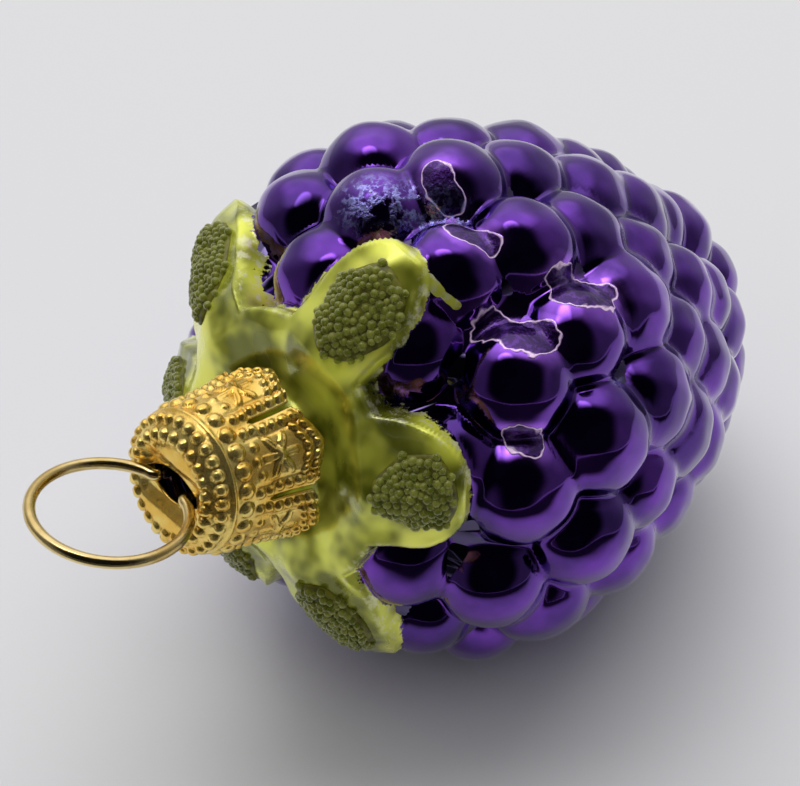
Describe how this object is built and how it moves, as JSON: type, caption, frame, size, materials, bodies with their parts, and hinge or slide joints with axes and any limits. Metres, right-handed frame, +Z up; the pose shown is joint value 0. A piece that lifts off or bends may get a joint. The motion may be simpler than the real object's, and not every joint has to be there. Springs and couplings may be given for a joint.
{
  "type": "bramble berry ornament",
  "caption": "Hollow glass hanging ornament in the form of a bramble berry, with beaded green sepals, a gold crown cap and a wire ring, lying on its side.",
  "frame": {"origin": "centre of the bounding box in plan, on the surface it lies on", "axes": "+Z up; +X along the ornament's length in plan, from the wire ring towards the berry's tip"},
  "size_m": [0.0894, 0.0554, 0.055],
  "materials": {
    "glass_berry": "silvered blown glass under glossy purple and green lacquer",
    "crown_cap": "gold coloured stamped sheet, bright",
    "hanger_wire": "bright drawn wire",
    "sepal_beads": "translucent green glass beads in glue"
  },
  "bodies": {
    "root": {"glass_berry": "glass_berry", "crown_cap": "crown_cap", "hanger_wire": "hanger_wire", "sepal_beads_1": "sepal_beads", "sepal_beads_2": "sepal_beads", "sepal_beads_3": "sepal_beads", "sepal_beads_4": "sepal_beads", "sepal_beads_5": "sepal_beads", "sepal_beads_6": "sepal_beads"}
  },
  "joints": []
}
